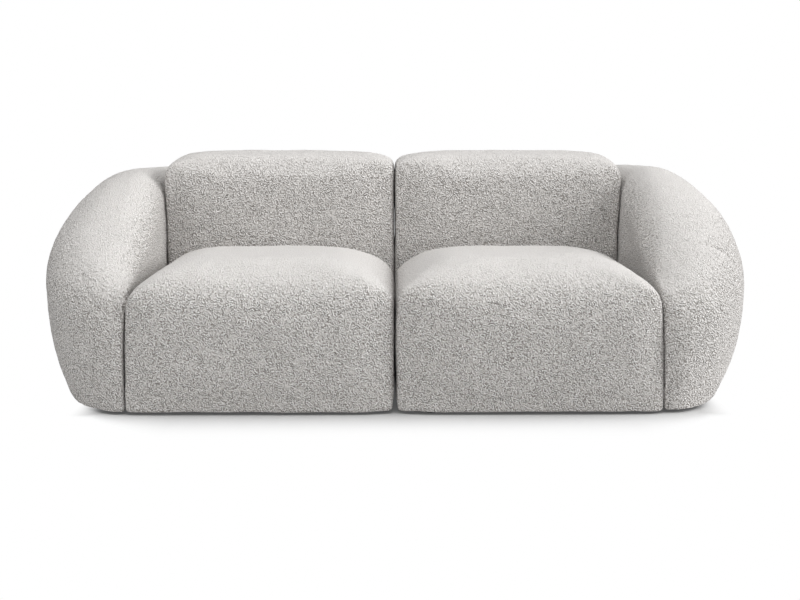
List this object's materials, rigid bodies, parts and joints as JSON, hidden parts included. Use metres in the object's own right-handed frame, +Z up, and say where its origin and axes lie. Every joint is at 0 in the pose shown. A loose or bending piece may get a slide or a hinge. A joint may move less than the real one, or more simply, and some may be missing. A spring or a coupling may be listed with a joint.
{
  "type": "curved sofa",
  "caption": "Low curved sofa in two hooked halves, with block seats, fixed back cushions and full round arms that wrap into the back, in looped pile fabric.",
  "frame": {"origin": "on the floor, under the middle of the sofa", "axes": "+X to the viewer's right along the sofa, the front faces -Y, +Z up"},
  "size_m": [2.3476, 0.9994, 0.765],
  "materials": {
    "boucle": "pale warm grey looped pile, matt",
    "foam": "upholstery foam, matt",
    "timber": "planed softwood",
    "plywood": "sanded plywood",
    "spring_steel": "oiled spring wire",
    "zinc_steel": "bright zinc plate",
    "black_plastic": "moulded, matt",
    "dust_cloth": "nonwoven lining, matt"
  },
  "bodies": {
    "left_half": {"left_seat_cover": "boucle", "left_seat_foam": "foam", "left_back_cushion_cover": "boucle", "left_back_cushion_foam": "foam", "left_arm_cover": "boucle", "left_arm_foam": "foam", "left_outside_back_cover": "boucle", "left_outside_back_foam": "foam", "left_dust_cover": "dust_cloth", "left_front_rail": "timber", "left_middle_rail": "timber", "left_rear_rail": "timber", "left_inner_side_rail": "timber", "left_outer_side_rail": "timber", "left_spring_1": "spring_steel", "left_spring_2": "spring_steel", "left_spring_3": "spring_steel", "left_spring_4": "spring_steel", "left_arm_base_plate": "plywood", "left_arm_side_rail": "timber", "left_arm_rib_front": "plywood", "left_arm_rib_rear": "plywood", "left_back_panel": "plywood", "left_foot_front_inner": "black_plastic", "left_foot_rear_inner": "black_plastic", "left_foot_front_outer": "black_plastic", "left_foot_rear_outer": "black_plastic", "left_arm_bolt_front": "zinc_steel", "left_arm_bolt_rear": "zinc_steel", "left_hook_socket": "zinc_steel"},
    "right_half": {"right_seat_cover": "boucle", "right_seat_foam": "foam", "right_back_cushion_cover": "boucle", "right_back_cushion_foam": "foam", "right_arm_cover": "boucle", "right_arm_foam": "foam", "right_outside_back_cover": "boucle", "right_outside_back_foam": "foam", "right_dust_cover": "dust_cloth", "right_front_rail": "timber", "right_middle_rail": "timber", "right_rear_rail": "timber", "right_inner_side_rail": "timber", "right_outer_side_rail": "timber", "right_spring_1": "spring_steel", "right_spring_2": "spring_steel", "right_spring_3": "spring_steel", "right_spring_4": "spring_steel", "right_arm_base_plate": "plywood", "right_arm_side_rail": "timber", "right_arm_rib_front": "plywood", "right_arm_rib_rear": "plywood", "right_back_panel": "plywood", "right_foot_front_inner": "black_plastic", "right_foot_rear_inner": "black_plastic", "right_foot_front_outer": "black_plastic", "right_foot_rear_outer": "black_plastic", "right_arm_bolt_front": "zinc_steel", "right_arm_bolt_rear": "zinc_steel", "right_hook_tongue": "zinc_steel"}
  },
  "joints": [
    {"name": "right_half_lift", "type": "slide", "parent": "left_half", "child": "right_half", "axis": [0, 0, 1], "range_m": [0, 0.045]}
  ]
}
